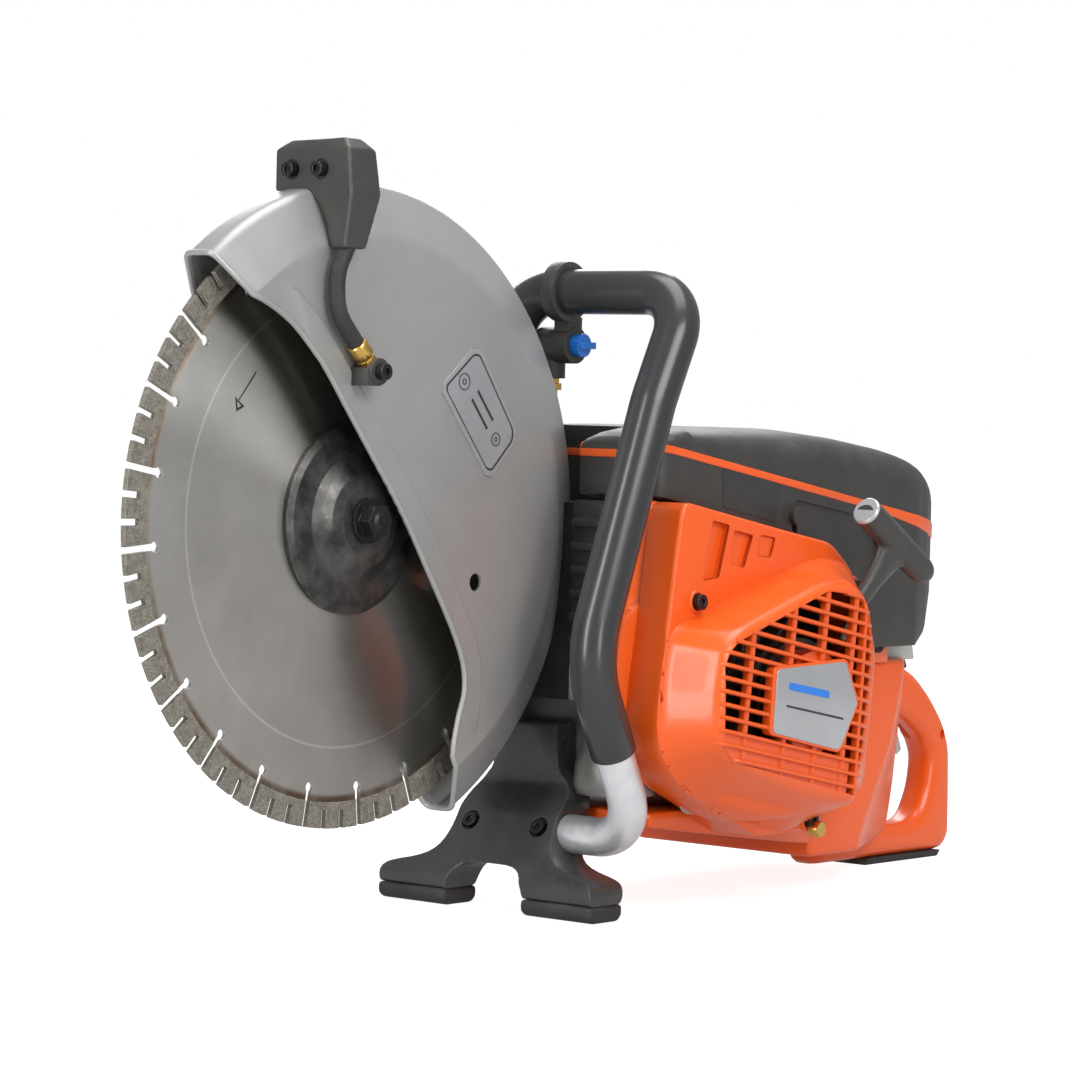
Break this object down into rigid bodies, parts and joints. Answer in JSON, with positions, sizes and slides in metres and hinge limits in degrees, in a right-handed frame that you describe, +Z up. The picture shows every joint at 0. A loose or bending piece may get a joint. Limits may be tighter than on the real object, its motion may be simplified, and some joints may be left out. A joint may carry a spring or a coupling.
{
  "type": "concrete cut-off saw",
  "caption": "Petrol concrete cut-off saw: diamond blade under a swinging guard, belt-driven from a rear engine with starter, tubular front handle and rear grip.",
  "frame": {"origin": "on the ground under the centre of the machine's bounding box", "axes": "+X towards the rear handle, -X towards the blade, +Y to the belt side, -Y to the starter side, +Z up"},
  "size_m": [0.777, 0.2414, 0.4453],
  "materials": {
    "silver_paint": "satin",
    "blade_steel": "brushed",
    "diamond_segment": "rough",
    "black_steel": "satin",
    "bright_steel": "machined",
    "grey_casting": "satin",
    "bare_aluminium": "cast",
    "orange_plastic": "gloss",
    "dark_plastic": "matte",
    "handle_coat": "satin",
    "rubber_black": "matte",
    "brass_yellow": "bright",
    "blue_plastic": "gloss",
    "red_plastic": "gloss",
    "plate_metal": "satin",
    "black_heatproof": "matte",
    "filter_paper": "matte",
    "rope_cord": "matte"
  },
  "bodies": {
    "machine": {"spindle_bearings": "bright_steel", "bearing_housing": "bare_aluminium", "cutting_arm": "grey_casting", "belt_guard": "grey_casting", "housing_screws": "black_steel", "drive_belt": "rubber_black", "piston": "bare_aluminium", "cylinder": "bare_aluminium", "crankcase": "bare_aluminium", "crank_bearings": "bright_steel", "spark_plug": "rubber_black", "ignition_coil": "black_heatproof", "muffler": "black_heatproof", "muffler_shield": "black_heatproof", "carburettor": "bare_aluminium", "air_filter": "filter_paper", "top_cover": "dark_plastic", "starter_cover": "orange_plastic", "starter_plate": "plate_metal", "recoil_spring": "bright_steel", "tank_handle": "orange_plastic", "rear_feet": "rubber_black", "front_handle": "bare_aluminium", "handle_coating": "handle_coat", "front_foot": "grey_casting", "foot_pads": "rubber_black", "water_valve": "dark_plastic", "water_connector": "brass_yellow", "vibration_springs": "bright_steel"},
    "blade": {"blade_core": "blade_steel", "blade_segments": "diamond_segment", "outer_flange": "black_steel", "inner_flange": "black_steel", "blade_bolt": "black_steel", "spindle": "bright_steel", "driven_pulley": "bare_aluminium"},
    "guard": {"blade_guard": "silver_paint", "guard_handle": "dark_plastic", "guard_screws": "black_steel", "guard_plate": "plate_metal", "water_hose": "rubber_black", "hose_fitting": "brass_yellow", "spray_nozzle": "dark_plastic"},
    "clutch": {"clutch_drum": "bright_steel"},
    "crank": {"crankshaft": "bright_steel", "clutch_shoes": "bright_steel", "flywheel": "bare_aluminium"},
    "rod": {"connecting_rod": "bright_steel"},
    "grip": {"starter_grip": "dark_plastic", "grip_cap": "plate_metal", "starter_rope": "rope_cord"},
    "rope_pulley": {"starter_pulley": "dark_plastic"},
    "trigger": {"throttle_trigger": "dark_plastic"},
    "lockout": {"throttle_lockout": "dark_plastic"},
    "stop": {"stop_switch": "red_plastic"},
    "choke": {"choke_lever": "dark_plastic"},
    "valve_button": {"decompression_valve": "dark_plastic"},
    "knob": {"water_knob": "blue_plastic"},
    "cap": {"fuel_cap": "dark_plastic"},
    "latch": {"cover_latch": "dark_plastic"}
  },
  "joints": [
    {"name": "blade_spin", "type": "hinge", "parent": "machine", "child": "blade", "pos_m": [-0.2135, 0.0307, 0.2333], "axis": [0, 1, 0], "continuous": true},
    {"name": "guard_swing", "type": "hinge", "parent": "machine", "child": "guard", "pos_m": [-0.2135, 0.0307, 0.2333], "axis": [0, 1, 0], "range_deg": [-15, 40]},
    {"name": "clutch_spin", "type": "hinge", "parent": "machine", "child": "clutch", "pos_m": [0.0415, 0.0307, 0.1283], "axis": [0, 1, 0], "continuous": true},
    {"name": "crank_spin", "type": "hinge", "parent": "machine", "child": "crank", "pos_m": [0.0415, 0.0307, 0.1283], "axis": [0, 1, 0], "continuous": true},
    {"name": "rod_swing", "type": "hinge", "parent": "crank", "child": "rod", "pos_m": [0.0415, 0.0307, 0.1473], "axis": [0, 1, 0], "continuous": true},
    {"name": "trigger_squeeze", "type": "hinge", "parent": "machine", "child": "trigger", "pos_m": [0.3075, 0.0307, 0.1093], "axis": [0, -1, 0], "range_deg": [0, 12], "stiffness_Nm_per_rad": 0.4, "springref_deg": -14.32},
    {"name": "lockout_press", "type": "hinge", "parent": "machine", "child": "lockout", "pos_m": [0.3185, 0.0307, 0.1233], "axis": [0, 1, 0], "range_deg": [0, 9], "stiffness_Nm_per_rad": 0.4, "springref_deg": -11.46},
    {"name": "stop_toggle", "type": "hinge", "parent": "machine", "child": "stop", "pos_m": [0.2935, 0.0307, 0.1428], "axis": [0, 1, 0], "range_deg": [-14, 14]},
    {"name": "choke_turn", "type": "hinge", "parent": "machine", "child": "choke", "pos_m": [0.1265, 0.0307, 0.2053], "axis": [0, 1, 0], "range_deg": [0, 60]},
    {"name": "decompression_press", "type": "slide", "parent": "machine", "child": "valve_button", "axis": [0, 1, 0], "range_m": [0, 0.003], "stiffness_N_per_m": 400, "springref_m": -0.002},
    {"name": "water_turn", "type": "hinge", "parent": "machine", "child": "knob", "pos_m": [-0.0205, 0.0307, 0.3373], "axis": [0, 1, 0], "range_deg": [0, 90]},
    {"name": "cap_turn", "type": "hinge", "parent": "machine", "child": "cap", "pos_m": [0.1965, 0.0307, 0.0833], "axis": [0, 1, 0], "range_deg": [0, 90]},
    {"name": "latch_turn", "type": "hinge", "parent": "machine", "child": "latch", "pos_m": [0.0125, -0.0093, 0.2913], "axis": [0, 0, 1], "range_deg": [0, 90]},
    {"name": "starter_pull", "type": "slide", "parent": "machine", "child": "grip", "axis": [0.6, 0, 0.8], "range_m": [0, 0.7], "stiffness_N_per_m": 12, "springref_m": -0.35},
    {"name": "pulley_wind", "type": "hinge", "parent": "machine", "child": "rope_pulley", "pos_m": [0.0415, 0.0307, 0.1283], "axis": [0, 1, 0], "range_deg": [-10, 1350]}
  ],
  "couplings": [
    {"joint": "clutch_spin", "follows": "blade_spin", "ratio": 2},
    {"joint": "rod_swing", "follows": "crank_spin", "ratio": -1},
    {"joint": "pulley_wind", "follows": "starter_pull", "rad_per_m": 31.25}
  ]
}
